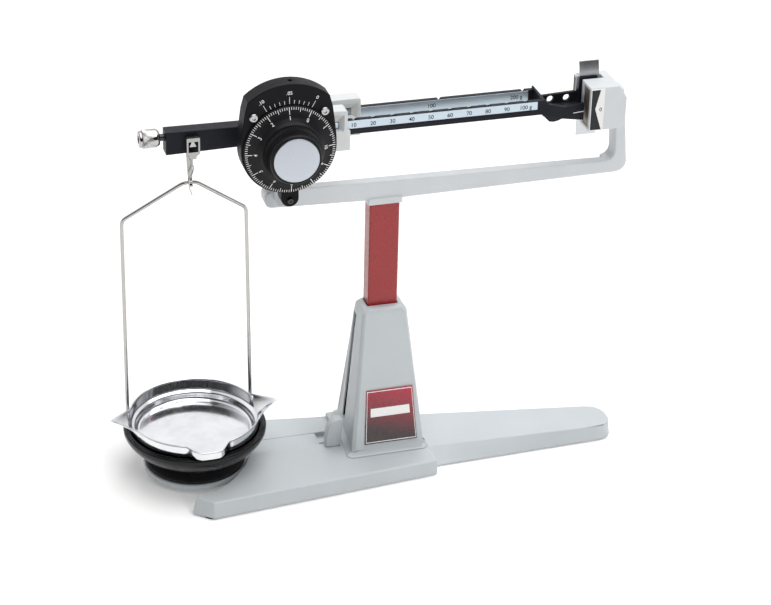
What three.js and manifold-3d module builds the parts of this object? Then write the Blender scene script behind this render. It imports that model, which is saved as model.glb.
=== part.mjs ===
// Two-beam dial balance with a hanging pan, in millimetres, +Z up, the dial facing -Y.
import * as THREE from "three";
import { ConvexGeometry } from "three/addons/geometries/ConvexGeometry.js";
import { mergeVertices } from "three/addons/utils/BufferGeometryUtils.js";
import Module from "manifold-3d";

const wasm = await Module();
wasm.setup();

// ---- driving dimensions (column axis at x = 0, y = 0; table at z = 0) ----
const GAP = 0.3; // clearance between pieces that touch
const SHIFT = [10.05, 10.65]; // moves the object over the centre of its own bounding box

const DECK = 13.5; // top of the base
const LOW_DECK = 9; // lowered rear-left top of the base
const BASE_Z = 1.5; // underside of the base
const CHANNEL_Y = 12; // front wall of the lowered deck
const ARM_CUTS = 10; // sections along the base's right-hand arm
const FOOT_R = 6.5;
const FEET = [[-150, -68], [170, -28], [-92, 31], [20, 20]];

const TOWER_TOP = 130;
const SLOT = { y: 5.5, half: 3.8, z0: 24, z1: 118 }; // opening in the tower's left face
const FLARE = [[0, 2.4, 4.4], [1.1, 1.2, 2.3], [2.8, 0.45, 0.9], [5, 0, 0]]; // rise, out, out to the left
const COLUMN = { w: 23.6, d: 14, z0: 104.3, z1: 219.2 };

const PIVOT = [-82, 284.5]; // x, z of the main knife edge and the dial axis
const HALF_ARM = 7; // half depth of the frame casting
const POST_Y = 21; // outer face of both bearing posts
const PLATE_Y = 17.4; // inner face of the round plate behind the dial

const HOUSING_Y = [-36, -21.3]; // front and back of the dial housing
const DIAL_R = 34.2;
const DIAL_Y = -36.4; // back face of the dial
const KNOB_R = 19.6;
const KNOB_Y = -57.6; // front face of the knob

const BAR = { x0: -166.2, y: 6, z0: 274.3, z1: 292.2 }; // load arm of the beam
const FRONT_RAIL = { y0: -12, y1: -8, z0: 279, z1: 290.4 };
const REAR_RAIL = { y0: 8, y1: 12, z0: 279, z1: 291 };
const RAIL_X = [-69.5, 118]; // both rails, from the cross-piece to the flag
const STRIP_T = 0.6; // thickness of a graduated strip
const FRONT_ZERO = -41.1; // notch positions along the rails
const FRONT_PITCH = 14.88;
const REAR_ZERO = -21;
const REAR_PITCH = 66.6;

const PAN = [-147.8, 0]; // axis of pan, holder and platform
const PAN_KNIFE = [-147.2, 284.5]; // x, z of the pan knife edge
const BOW = { apex: 248.2, shoulder: 212.5,
  left: 48.4, right: 46.6, half: 48.9, back: 19.6, wire: 1.4, foot: 38.6 };

const BOX = { x0: 156.4, x1: 188.6, y0: -17, y1: 15, z0: 263.4, z1: 298.6 }; // slotted damper box
const BOX_REAR_X = 154.4; // left face of the damper box behind its slot
const SPOUT = { z0: 43.2, z1: 47.8, reach: 15.8, spread: 11, power: 2.2, tips: [[180, 52.4], [0, 52.4],
  [-90, 49]] };
const ROUND = 48; // facets of the large round pieces
const VANE_Y = 5; // plane of the damper vane
const VANE_SLOT = 3.6; // half width of the slot the vane moves in
const ARM_Y = 3.4; // half width of the platform arm's narrow end
const LEVER_Y = [-19, -11.2]; // front and back of the arrest lever
const STUD_Z = 286.5; // height of the zero-adjust stud

const GREY = [0xcdd3d6, 0.42, 0.0];
const BLACK = [0x15151a, 0.38, 0.0];
const CHROME = [0xd9dadc, 0.12, 1.0];

// ---- solids ----
// A watertight solid from a three.js geometry, turned outward if its faces point in.
function solid(geometry) {
  const g = geometry.clone();
  g.deleteAttribute("normal");
  g.deleteAttribute("uv");
  const m = mergeVertices(g, 1e-3);
  const p = m.attributes.position.array;
  const tris = [];
  let volume = 0;
  for (let i = 0; i < m.index.count; i += 3) {
    const [a, b, c] = [0, 1, 2].map((k) => m.index.array[i + k]);
    if (a === b || b === c || c === a) continue;
    tris.push([a, b, c]);
    const [u, v, w] = [a, b, c].map((k) => new THREE.Vector3().fromArray(p, 3 * k));
    volume += u.dot(v.cross(w));
  }
  const order = volume < 0 ? tris.map((t) => [t[0], t[2], t[1]]) : tris;
  const triVerts = new Uint32Array(order.flat());
  const vertProperties = new Float32Array(p);
  return new wasm.Manifold(new wasm.Mesh({ numProp: 3, vertProperties, triVerts }));
}

function toGeometry(man) {
  const mesh = man.getMesh();
  const flat = [];
  for (const i of mesh.triVerts) {
    const at = i * mesh.numProp;
    flat.push(mesh.vertProperties[at], mesh.vertProperties[at + 1], mesh.vertProperties[at + 2]);
  }
  const g = new THREE.BufferGeometry();
  g.setAttribute("position", new THREE.Float32BufferAttribute(flat, 3));
  g.computeVertexNormals();
  return g;
}

function box(x0, x1, y0, y1, z0, z1) {
  const g = new THREE.BoxGeometry(x1 - x0, y1 - y0, z1 - z0);
  g.translate((x0 + x1) / 2, (y0 + y1) / 2, (z0 + z1) / 2);
  return solid(g);
}

function hull(points) {
  return solid(new ConvexGeometry(points.map((p) => new THREE.Vector3(...p))));
}

// Convex rings at several heights, each [z, [[x, y], ...]], skinned into one block.
function block(rings) {
  return hull(rings.flatMap(([z, ring]) => ring.map(([x, y]) => [x, y, z])));
}

// A revolved profile of [radius, height] pairs about +Z.
function lathe(profile, segments) {
  const g = new THREE.LatheGeometry(profile.map((p) => new THREE.Vector2(...p)), segments);
  g.rotateX(Math.PI / 2);
  return solid(g);
}

// Turns a solid built along +Z so that its +Z points along -Y, then moves it.
function faceFront(man, x, y, z) {
  return man.rotate([90, 0, 0]).translate([x, y, z]);
}

// A round bar along one axis; at holds the two other coordinates.
function rod(axis, r, from, to, at, segments) {
  const g = new THREE.CylinderGeometry(r, r, to - from, segments);
  const mid = (from + to) / 2;
  if (axis === "x") g.rotateZ(Math.PI / 2).translate(mid, at[0], at[1]);
  if (axis === "y") g.translate(at[0], mid, at[1]);
  if (axis === "z") g.rotateX(Math.PI / 2).translate(at[0], at[1], mid);
  return solid(g);
}

function extrude(points, depth, bevel) {
  const shape = new THREE.Shape(points.map((p) => new THREE.Vector2(...p)));
  const g = new THREE.ExtrudeGeometry(shape, {
    depth: depth - 2 * bevel,
    bevelEnabled: bevel > 0,
    bevelThickness: bevel,
    bevelSize: bevel,
    bevelOffset: -bevel,
    bevelSegments: 2,
  });
  return g.translate(0, 0, bevel);
}

// An outline in x and y pulled up from z0 to z1.
function slab(points, z0, z1, bevel = 0) {
  return solid(extrude(points, z1 - z0, bevel).translate(0, 0, z0));
}

// An outline in x and z pulled from y0 to y1.
function wall(points, y0, y1, bevel = 0) {
  return solid(extrude(points, y1 - y0, bevel).rotateX(Math.PI / 2).translate(0, y1, 0));
}

// An outline in y and z pulled from x0 to x1.
function rail(points, x0, x1, bevel = 0) {
  const g = extrude(points, x1 - x0, bevel);
  return solid(g.rotateX(Math.PI / 2).rotateZ(Math.PI / 2).translate(x0, 0, 0));
}

// Round wire of radius r along a curve.
function wire(curve, r, steps, sides) {
  const ring = [];
  for (let i = 0; i < sides; i++) {
    const a = (2 * Math.PI * i) / sides;
    ring.push(new THREE.Vector2(r * Math.cos(a), r * Math.sin(a)));
  }
  const shape = new THREE.Shape(ring);
  return solid(new THREE.ExtrudeGeometry(shape, { steps, extrudePath: curve }));
}

// A path through points whose corners are rounded by radius.
function rounded(points, radius) {
  const path = new THREE.CurvePath();
  const v = points.map((p) => new THREE.Vector3(...p));
  let from = v[0];
  for (let i = 1; i < v.length - 1; i++) {
    const into = v[i - 1].clone().sub(v[i]).setLength(radius).add(v[i]);
    const out = v[i + 1].clone().sub(v[i]).setLength(radius).add(v[i]);
    path.add(new THREE.LineCurve3(from, into));
    path.add(new THREE.QuadraticBezierCurve3(into, v[i], out));
    from = out;
  }
  path.add(new THREE.LineCurve3(from, v[v.length - 1]));
  return path;
}

function arc(cx, cz, r, from, to, count) {
  const out = [];
  for (let i = 0; i <= count; i++) {
    const a = THREE.MathUtils.degToRad(from + ((to - from) * i) / count);
    out.push([cx + r * Math.cos(a), cz + r * Math.sin(a)]);
  }
  return out;
}

function shrink(ring, d) {
  const cx = ring.reduce((s, p) => s + p[0], 0) / ring.length;
  const cy = ring.reduce((s, p) => s + p[1], 0) / ring.length;
  return ring.map(([x, y]) => [x - d * Math.sign(x - cx), y - d * Math.sign(y - cy)]);
}

// A four-cornered ring with its corners cut back by c.
function cornered(fl, fr, br, bl, c) {
  return [
    [fl[0], fl[1] + c], [fl[0] + c, fl[1]], [fr[0] - c, fr[1]], [fr[0], fr[1] + c],
    [br[0], br[1] - c], [br[0] - c, br[1]], [bl[0] + c, bl[1]], [bl[0], bl[1] - c],
  ];
}

// ---- stand ----
// The right-hand arm of the base, skinned through cross sections so that its sides twist evenly.
function baseArm() {
  const ends = [
    // x, then y of: foot front, crown front, crown back, foot back
    [28, -50, -37, 14, 19.5],
    [38.3, -47.8, -36.7, 13.4, 17.5],
    [172, -43.3, -40.6, -8.2, -4.4],
    [178, -42.6, -39.8, -10, -6.6],
    [181.6, -41, -37.8, -12.6, -9.6],
    [184.2, -38, -34.6, -16.4, -13.6],
    [185.7, -33.6, -30.6, -20.6, -18],
    [186.2, -29, -27.6, -24, -22.6],
  ];
  const between = (a, b, t) => a.map((v, i) => v + (b[i] - v) * t);
  const rows = [ends[0], ends[1]];
  for (let k = 1; k <= ARM_CUTS; k++) rows.push(between(ends[1], ends[2], k / ARM_CUTS));
  rows.push(...ends.slice(3));
  const ring = ([x, ff, cf, cb, fb], i) => {
    const inset = i === rows.length - 1 ? 0.6 : 0;
    const edge = DECK - 0.5;
    return [[x, ff, BASE_Z], [x, fb, BASE_Z], [x - inset, cf, edge - 0.9], [x - inset, cf + 0.9, edge],
      [x - inset, cb - 0.9, edge], [x - inset, cb, edge - 0.9]];
  };
  const rings = rows.map(ring);
  return rings.slice(1).map((r, i) => hull([...rings[i], ...r])).reduce((a, b) => a.add(b));
}

function baseCasting() {
  const foot = [[-164.4, -65.7], [-150.3, -76.7], [32.4, -59.1], [34, -50], [33, 34.5], [-112, 34.5],
    [-162, -58]];
  const top = [[-160.2, -61.5], [-149.8, -73.6], [32, -58.4], [32.6, -50], [32, 33.4], [-112, 33.4],
    [-160, -59]];
  const main = block([[BASE_Z, foot], [DECK - 1.2, top], [DECK, shrink(top, 1.2)]]);
  const rear = block([
    [BASE_Z, [[-34, -14], [-34, 34.5], [-84, 43], [-114, 46.5], [-114, -14]]],
    [LOW_DECK - 0.8, [[-34, -14], [-34, 33.6], [-84, 42], [-113, 45.4], [-113, -14]]],
    [LOW_DECK, [[-34, -14], [-34, 32.8], [-84, 41], [-113, 44.2], [-113, -14]]],
  ]);
  const lowered = box(-180, -33.6, -CHANNEL_Y, 60, LOW_DECK, 20);
  const cut = [
    [-106.3, -11.2], [-109, -16], [-115, -27.5], [-123.6, -39], [-130, -46], [-137.5, -52.5],
      [-148.1, -58.6],
    [-158.8, -60.4], [-180, -60.4], [-180, 60], [-120, 60], [-119, 34], [-115, 27.5], [-109, 16],
      [-106.3, 11.2],
  ];
  const channel = box(-130, -29.4, -CHANNEL_Y, CHANNEL_Y, 4.6, 20);
  const hollow = slab(
    [[-28, -48], [26, -50], [30, -34], [150, -31], [150, -16], [38, 4], [6, 10], [6, 26], [-28, 26]],
    -1,
    8.5,
  );
  return main.subtract(lowered).add(rear).add(baseArm()).subtract(slab(cut, -5, 30))
    .subtract(channel).subtract(hollow);
}

function towerCorners(z) {
  const t = (z - DECK) / (TOWER_TOP - DECK);
  const mix = (a, b) => a + (b - a) * t;
  return {
    fl: [mix(-30.8, -17.6), mix(-37.2, -14.6)],
    fr: [mix(28.6, 17.6), mix(-36.8, -14.2)],
    br: [mix(24.2, 17.2), mix(31.4, 9.6)],
    bl: [mix(-25.4, -17.2), mix(31.4, 9.6)],
  };
}

function towerRing(z, d, c) {
  const { fl, fr, br, bl } = towerCorners(z);
  const into = (p, sx, sy) => [p[0] + sx * d, p[1] + sy * d];
  return cornered(into(fl, 1, 1), into(fr, -1, 1), into(br, -1, -1), into(bl, 1, -1), c);
}

// The hollow curve that spreads the tower's foot onto the base.
function towerFlare() {
  const z0 = DECK + GAP;
  const ring = ([rise, out, left]) => {
    const { fl, fr, br, bl } = towerCorners(z0 + rise);
    const pts = cornered([fl[0] - left, fl[1] - out], [fr[0] + out, fr[1] - out],
      [br[0] + out, br[1] + out], [bl[0] - left, bl[1] + out], 3);
    return [z0 + rise, pts];
  };
  return FLARE.slice(1).map((to, i) => block([ring(FLARE[i]), ring(to)])).reduce((a, b) => a.add(b));
}

function towerCasting() {
  const z0 = DECK + GAP;
  const shell = block([
    [z0, towerRing(z0, 0, 2.2)],
    [TOWER_TOP - 3.4, towerRing(TOWER_TOP - 3.4, 0, 2.2)],
    [TOWER_TOP - 1, towerRing(TOWER_TOP, 1.2, 3)],
    [TOWER_TOP, towerRing(TOWER_TOP, 2.8, 3)],
  ]);
  const cavity = block([[5, towerRing(DECK, 3.2, 1)], [z0, towerRing(DECK, 3.2, 1)],
    [99, towerRing(99, 3.2, 1)]]);
  const socketW = COLUMN.w / 2 + GAP;
  const socketD = COLUMN.d / 2 + GAP;
  const socket = box(-socketW, socketW, -socketD, socketD, COLUMN.z0 - GAP, TOWER_TOP + 5);
  const slot = box(-50, -13.6, SLOT.y - SLOT.half, SLOT.y + SLOT.half, SLOT.z0, SLOT.z1);
  return shell.add(towerFlare()).subtract(cavity).subtract(socket).subtract(slot);
}

function labelPlate() {
  const face = (z, d) => {
    const { fl } = towerCorners(z);
    return fl[1] - d;
  };
  const pts = [];
  for (const [x, z] of [[-20.6, 22.5], [22, 22.5], [19.6, 66], [-17.6, 66]]) {
    pts.push([x, face(z, GAP), z], [x, face(z, GAP + 0.5), z]);
  }
  return hull(pts);
}

function columnTube() {
  const w = COLUMN.w / 2;
  const d = COLUMN.d / 2;
  const outer = cornered([-w, -d], [w, -d], [w, d], [-w, d], 0.9);
  const inner = cornered([-w + 1.8, -d + 1.8], [w - 1.8, -d + 1.8], [w - 1.8, d - 1.8],
    [-w + 1.8, d - 1.8], 0.5);
  return slab(outer, COLUMN.z0, COLUMN.z1).subtract(slab(inner, COLUMN.z0 - 5, COLUMN.z1 + 5));
}

function frameCasting() {
  const bow = [
    [-92.8, 227], [-91.4, 224], [-88.4, 222.6], [0, 219.5], [50, 219.8], [186, 221.4], [190.2, 222.6],
      [193, 225.4],
    [194.2, 229.5], [189.2, 282], [187.6, 292], [181.2, 292], [182.6, 260], [183.8, 240], [183, 236],
      [180.6, 233.2],
    [177, 232], [-20, 235.7], [-88.4, 236.8], [-91.6, 235.6], [-92.8, 232.6],
  ];
  const collar = slab(
    cornered([-13.6, -8.6], [13.6, -8.6], [13.6, 8.6], [-13.6, 8.6], 1),
    COLUMN.z1 - 2.6,
    221.5,
  );
  const socketW = COLUMN.w / 2 + GAP;
  const socketD = COLUMN.d / 2 + GAP;
  const socket = box(-socketW, socketW, -socketD, socketD, 200, COLUMN.z1 + GAP);
  const damper = wall(
    [[BOX.x0, BOX.z0], [183, BOX.z0], [186.4, BOX.z0 + 4], [186.4, 288], [183.4, 293.4], [180, BOX.z1],
      [BOX.x0, BOX.z1]],
    BOX.y0,
    BOX.y1,
    1,
  );
  const rearLip = box(BOX_REAR_X, BOX.x0 + 1.6, VANE_Y + VANE_SLOT, BOX.y1 - 0.4, BOX.z0 + 0.4, BOX.z1 - 0.4);
  const slot = box(150, 173.5, VANE_Y - VANE_SLOT, VANE_Y + VANE_SLOT, BOX.z0 - 5, BOX.z1 + 5);
  const [px, pz] = PIVOT;
  const relief = hull([
    [-99, 0.5, 237.4], [-99, 8, 237.4], [-99, 8, 233.2], [177, 0.5, 232.2], [177, 8, 232.2],
      [177, 8, 228.4],
  ]);
  const posts = box(-86.6, -74.4, -POST_Y, 18, 231, 236)
    .add(box(-86.6, -74.4, -POST_Y, -8, 231, 252))
    .add(box(px - 10.5, px + 10.5, -POST_Y, -8, 250, 297))
    .add(wall([[-92, 233], [-72, 233], [-74, 250], [-73, 294], [-77, 297], [-87, 297], [-91, 294],
      [-90, 250]], 8, 18, 0.8))
    .add(rod("y", 34, -POST_Y, -PLATE_Y, [px, pz], 48));
  const seats = box(px - 5, px + 5, -17, -7, pz - 4.5, 300).add(box(px - 5, px + 5, 7, 17, pz - 4.5, 300));
  const pockets = box(150, 160, -14.8, -3.2, 265.7, 296.3).add(box(150, 158, 10, 13.6, 265.7, 296.3));
  return wall(bow, -HALF_ARM, HALF_ARM, 1.2)
    .subtract(relief)
    .add(collar)
    .subtract(socket)
    .add(damper.add(rearLip))
    .subtract(slot)
    .add(posts)
    .subtract(seats)
    .subtract(pockets);
}

function veeBearing(y0, y1) {
  const [x, z] = PIVOT;
  const out = [[x - 4.7, z - 4.2], [x + 4.7, z - 4.2], [x + 4.7, z + 3.6], [x, z - GAP],
    [x - 4.7, z + 3.6]];
  return wall(out, y0, y1);
}

function damperMagnet(x0, y0, y1) {
  return box(x0 + 0.4, x0 + 3.3, y0, y1, 266, 296);
}

function indexPlate() {
  return box(BOX.x0 + 0.3, 167.8, BOX.y0 - 0.9, BOX.y0 - GAP, 264, 298);
}

function housingOutline() {
  const [x, z] = PIVOT;
  const top = arc(x - 0.2, z + 5, 45.2, 48, 132, 14);
  const left = [[x - 32.8, z + 29.8], [x - 34.4, z + 17], [x - 35.4, z + 6]];
  const right = [[x + 35.4, z + 6], [x + 34.2, z + 17], [x + 32.4, z + 29.8]];
  return [...top, ...left, ...arc(x, z, 35.6, 180, 360, 30), ...right];
}

function dialHousing() {
  const [x, z] = PIVOT;
  const body = wall(housingOutline(), HOUSING_Y[0], HOUSING_Y[1], 0.8);
  const lugX = x + 1.4;
  const lugZ = 242.6;
  const lug = wall([...arc(lugX, lugZ, 6.6, 180, 360, 12), [lugX + 6.6, 256],
    [lugX - 6.6, 256]], -33.4, HOUSING_Y[1], 0.6);
  const bore = rod("y", 29.5, HOUSING_Y[0] - 5, -24.5, [x, z], 48);
  const shaft = rod("y", 4, -40, -15, [x, z], 20);
  const topHole = rod("z", 1.7, 320, 345, [x + 2, -28.5], 16);
  return body.add(lug).subtract(bore).subtract(shaft).subtract(topHole);
}

function screwHead(x, z, y, r) {
  const head = lathe([[0, 0], [r, 0], [r, 1], [r * 0.8, 1.7], [0, 1.7]], 20);
  const socket = rod("z", r * 0.45, 0.8, 5, [0, 0], 6);
  return faceFront(head.subtract(socket), x, y, z);
}

function spiralSpring() {
  const pts = [];
  const turns = 3;
  const count = 72;
  for (let i = 0; i <= count; i++) {
    const t = i / count;
    const r = 5.2 + 19 * t;
    const a = 2 * Math.PI * turns * t;
    pts.push([PIVOT[0] + r * Math.cos(a), PIVOT[1] + r * Math.sin(a)]);
  }
  const outer = pts.map((p) => {
    const v = new THREE.Vector2(p[0] - PIVOT[0], p[1] - PIVOT[1]);
    v.setLength(v.length() + 0.6);
    return [PIVOT[0] + v.x, PIVOT[1] + v.y];
  });
  return wall([...pts, ...outer.reverse()], -33, -29);
}

// ---- dial ----
function dialSkirt() {
  const profile = [
    [6, 0], [DIAL_R - 0.5, 0], [DIAL_R, 0.5], [DIAL_R, 1.6], [DIAL_R - 0.6, 2.2], [29.4, 3], [26, 4.2],
      [23.4, 6.2],
    [22.2, 8.4], [6, 8.4], [6, 0],
  ];
  return faceFront(lathe(profile, ROUND), PIVOT[0], DIAL_Y, PIVOT[1]);
}

function dialKnob() {
  const depth = DIAL_Y - KNOB_Y;
  const profile = [
    [0, 8.7], [21.6, 8.7], [21.6, 11], [20.6, 12.4], [KNOB_R, 18.6], [KNOB_R - 0.9, depth - 0.5],
      [KNOB_R - 2, depth],
    [17.3, depth], [17.3, depth - 1], [0, depth - 1],
  ];
  return faceFront(lathe(profile, ROUND), PIVOT[0], DIAL_Y, PIVOT[1]);
}

function dialCap() {
  const depth = DIAL_Y - KNOB_Y;
  return faceFront(
    lathe([[0, depth - 0.7], [17, depth - 0.7], [17, depth - 0.1], [16.6, depth + 0.3],
      [0, depth + 0.3]], 48),
    PIVOT[0],
    DIAL_Y,
    PIVOT[1],
  );
}

function dialShaft() {
  return rod("y", 3.7, DIAL_Y - 8, -21.6, PIVOT, 24);
}

// ---- beam ----
function notches(r, zero, pitch, count) {
  const cuts = [];
  for (let i = 0; i <= count; i++) {
    const x = zero + i * pitch;
    cuts.push(wall([[x - 1.7, r.z1 + 0.2], [x, r.z1 - 1.9], [x + 1.7, r.z1 + 0.2]], r.y0 - 2, r.y1 + 1));
  }
  return cuts.reduce((a, b) => a.add(b));
}

function knifeOutline(x, z, up, grow) {
  const s = up ? -1 : 1;
  const e = grow;
  return [[x, z - s * e * 2.2], [x + 2.6 + e, z + s * (5.6 + e)], [x - 2.6 - e, z + s * (5.6 + e)]];
}

function beamCasting() {
  const { x0, y, z0, z1 } = BAR;
  const [x, z] = PIVOT;
  const F = FRONT_RAIL;
  const R = REAR_RAIL;
  const load = wall([[x0, z0], [-62, z0 + 2], [-62, z1 - 1.4], [x0, z1]], -y, y, 0.8);
  const cross = box(RAIL_X[0], RAIL_X[0] + 7, F.y0, R.y1, 278.6, 290);
  const front = box(RAIL_X[0], RAIL_X[1], F.y0, F.y1, F.z0, F.z1)
    .subtract(notches(F, FRONT_ZERO, FRONT_PITCH, 10));
  const rear = box(RAIL_X[0], RAIL_X[1], R.y0, R.y1, R.z0, R.z1)
    .subtract(notches(R, REAR_ZERO, REAR_PITCH, 2));
  const bridge = hull([
    [119.6, F.y0, 279], [119.6, F.y0, 290.4], [122.4, F.y0, 290.4], [130, F.y0, 281],
    [119.6, R.y1, 281], [119.6, R.y1, 293], [121, R.y1, 292.6], [127.4, R.y1, 285],
  ]);
  const step = hull([
    [117, F.y0, F.z0], [117, F.y0, F.z1], [120, F.y0, F.z1], [120, F.y0, F.z0],
    [117, F.y1, F.z0], [117, F.y1, F.z1], [120, F.y1, F.z1], [120, F.y1, F.z0],
  ]).add(box(117, 120, R.y0, R.y1, R.z0, R.z1));
  const lobe = wall(
    [[119.6, 279.6], [126.4, 272.6], [130, 272], [134, 272.8], [139, 275.4], [139, 283], [128, 286],
      [119.6, 287]],
    F.y0,
    F.y1,
  );
  const upper = wall([[120, 279.6], [152, 279.6], [152, 288.4], [120, 287]], VANE_Y - 1.4, VANE_Y + 1.4)
    .subtract(rod("y", 2.7, 0, 10, [132.1, 283.8], 20))
    .subtract(rod("y", 2.7, 0, 10, [145.2, 283.8], 20));
  const lower = hull([
    [136, F.y0, 274], [136, F.y1, 274], [136, F.y0, 283], [136, F.y1, 283],
    [155.2, -9, 269.6], [155.2, -5.4, 269.6], [155.2, -9, 283.4], [155.2, -5.4, 283.4],
  ]);
  const web = box(124, 152.4, -8.6, VANE_Y + 1.4, 276.4, 279.8);
  const plate = wall([[150, 268.4], [169.4, 268.4], [169.4, 299.4], [154.8, 299.4], [154.6, 290.4],
    [152.6, 288.4], [148, 288], [148, 279.6]],
    VANE_Y - 1.4, VANE_Y - 0.2);
  const knifeHole = wall(knifeOutline(x, z, false, GAP), -20, 20);
  const panHole = wall(knifeOutline(PAN_KNIFE[0], PAN_KNIFE[1] + 2.1, true, GAP), -20, 20);
  const studHole = rod("x", 2.9, x0 - 5, -152.6, [0, STUD_Z], 20);
  return [cross, front, rear, bridge, step, lobe, upper, lower, web, plate]
    .reduce((a, b) => a.add(b), load)
    .subtract(knifeHole)
    .subtract(panHole)
    .subtract(studHole);
}

function mainKnife() {
  return wall(knifeOutline(PIVOT[0], PIVOT[1], false, 0), -16.4, 16.4);
}

function panKnife() {
  return wall(knifeOutline(PAN_KNIFE[0], PAN_KNIFE[1] + 2.1, true, 0), -9.8, 9.8);
}

function scaleStrip(r, x1, z0) {
  const y1 = r.y0 - GAP;
  return box(-60, x1, y1 - STRIP_T, y1, z0, r.z1 - 0.2);
}

function damperVane() {
  const front = VANE_Y + 0.1;
  const line = [[front, 250.8], [front, 300], [front + 0.6, 304], [front + 1.6, 307.6],
    [front + 2.6, 310.8]];
  const back = line.map(([a, b]) => [a + 0.8, b]).reverse();
  return rail([...line, ...back], 155.4, 171.2);
}

function zeroStud() {
  return rod("x", 2.6, -183.6, -153, [0, STUD_Z], 20);
}

function zeroKnob() {
  const ribs = 24;
  const ring = [];
  for (let i = 0; i < ribs; i++) {
    const a = (2 * Math.PI * i) / ribs;
    const w = (2 * Math.PI) / ribs;
    ring.push([6.9 * Math.cos(a), 6.9 * Math.sin(a)]);
    ring.push([6.5 * Math.cos(a + w / 2), 6.5 * Math.sin(a + w / 2)]);
  }
  const knurled = rail(ring, -183, -172.4);
  const ends = rod("x", 6.3, -185.2, -183, [0, 0], 32).add(rod("x", 6.3, -172.4, -170.2, [0, 0], 32));
  const bore = rod("x", 2.9, -200, -150, [0, 0], 20);
  return knurled.add(ends).subtract(bore).translate([0, 0, STUD_Z]);
}

// ---- poises ----
// A four-sided funnel between an outer window at y0 and an inner window at y1, each [x0, x1, z0, z1].
function funnel(outer, y0, inner, y1) {
  const ring = ([x0, x1, z0, z1], y) => [[x0, y, z0], [x1, y, z0], [x1, y, z1], [x0, y, z1]];
  return hull([...ring(outer, y0), ...ring(inner, y1)]);
}

function frontPoise() {
  const F = FRONT_RAIL;
  const body = wall([[-61, 268.6], [-30.8, 268.6], [-30.8, 284], [-33, 285.6], [-33, 299.6],
    [-34.4, 301], [-61, 301]], -17, -4.8, 0.7);
  const tunnel = box(-70, -20, F.y0 - 1.5, F.y1 + 0.5, F.z0 - 0.6, F.z1 + 0.6);
  const sight = funnel([-56.5, -35.4, 284.3, 298], -17.1, [-52.6, -39.3, 285.2, 292.7], -13.4);
  return body.subtract(tunnel).subtract(sight);
}

function rearPoise() {
  const R = REAR_RAIL;
  const body = wall([[-47, 270], [-17, 270], [-17, 299], [-18.2, 300.2], [-47, 300.2]], 4.2, 15.6, 0.7);
  const tunnel = box(-55, -10, R.y0 - 1.3, R.y1 + 0.5, R.z0 - 0.6, R.z1 + 0.6);
  const sight = funnel([-43, -19.8, 284.6, 296.4], 4.1, [-38.8, -24.4, 286.4, 291.4], 6.8);
  return body.subtract(tunnel).subtract(sight);
}

// ---- hanging side ----
function stirrup() {
  const [x] = PAN_KNIFE;
  const [x0, x1] = [x - 4.9, x + 4.9];
  const side = (y0, y1) => {
    const out = [[x0, 288.4], [x0, 276], [x - 2.2, 273.8], [x - 2.2, 272], [x + 2.2, 272],
      [x + 2.2, 273.8], [x1, 276], [x1, 288.4]];
    return wall(out, y0, y1).subtract(box(x0 + 1.3, x1 - 1.3, y0 - 2, y1 + 2, 277.4, 285.6));
  };
  const top = PAN_KNIFE[1] + 2.1 + GAP;
  return side(-11.6, -10.2)
    .add(side(10.2, 11.6))
    .add(box(x0, x1, -11.6, -6.6, top, 288.4))
    .add(box(x0, x1, 6.6, 11.6, top, 288.4))
    .add(box(x - 2.2, x + 2.2, -11.6, 11.6, 272, 273.4));
}

function hookWire() {
  const x = PAN_KNIFE[0];
  const y = -2.4;
  const curve = new THREE.CatmullRomCurve3([
    new THREE.Vector3(x - 2.6, 0, 271.2),
    new THREE.Vector3(x - 1.2, -0.6, 267.6),
    new THREE.Vector3(x + 1.8, -1.4, 261),
    new THREE.Vector3(x + 0.6, -2.2, 256),
    new THREE.Vector3(x - 1.6, y, 251.4),
    new THREE.Vector3(x - 1.6, y, 245),
    new THREE.Vector3(x - 0.4, y + 0.4, 241),
    new THREE.Vector3(x + 0.4, y + 1.2, 238),
  ]);
  return wire(curve, 0.45, 30, 8);
}

function hangerLink() {
  const x = PAN_KNIFE[0];
  const strip = wall([[x - 2.8, 271.4], [x + 2.8, 271.4], [x + 1.2, 245], [x - 1.4, 245]], 2.2, 2.8);
  const seat = box(x - 1.4, x + 1.2, -1.6, 2.8, 245, 246.2);
  const head = box(x - 2.8, x + 2.8, 1.2, 2.8, 270.4, 271.4);
  return strip.add(seat).add(head);
}

function bowWire() {
  const [x, y] = PAN;
  const { apex, shoulder, left, right, half, back, wire: r, foot } = BOW;
  const path = rounded(
    [
      [x - half, y + back, foot], [x - left, y + back, shoulder], [x - 5, y, apex],
      [x + 4, y, apex], [x + right, y + back, shoulder], [x + half, y + back, foot],
    ],
    4.2,
  );
  return wire(path, r, 84, 8);
}

function panHolder() {
  const [x, y] = PAN;
  const cup = lathe(
    [
      [0, 21], [41, 21], [43.4, 22.2], [48.6, 27.4], [53.4, 34], [55.2, 38.6], [55.4, 42.2], [54.8, 43],
        [50.3, 43],
      [49.5, 42.2], [48.2, 37.4], [46.6, 35.4], [44.6, 29.4], [41.4, 26], [0, 26],
    ],
    ROUND,
  );
  let out = cup;
  for (const s of [-1, 1]) {
    out = out.subtract(rod("z", BOW.wire + GAP, BOW.foot - GAP, 50, [s * BOW.half, BOW.back], 16));
  }
  return out.translate([x, y, 0]);
}

// How far a pouring spout reaches at one bearing: 1 on its centre line, 0 well away from it.
function spoutShare(bearing, centre) {
  const off = Math.abs(THREE.MathUtils.euclideanModulo(bearing - centre + 180, 360) - 180);
  return Math.exp(-((off / SPOUT.spread) ** SPOUT.power));
}

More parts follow.
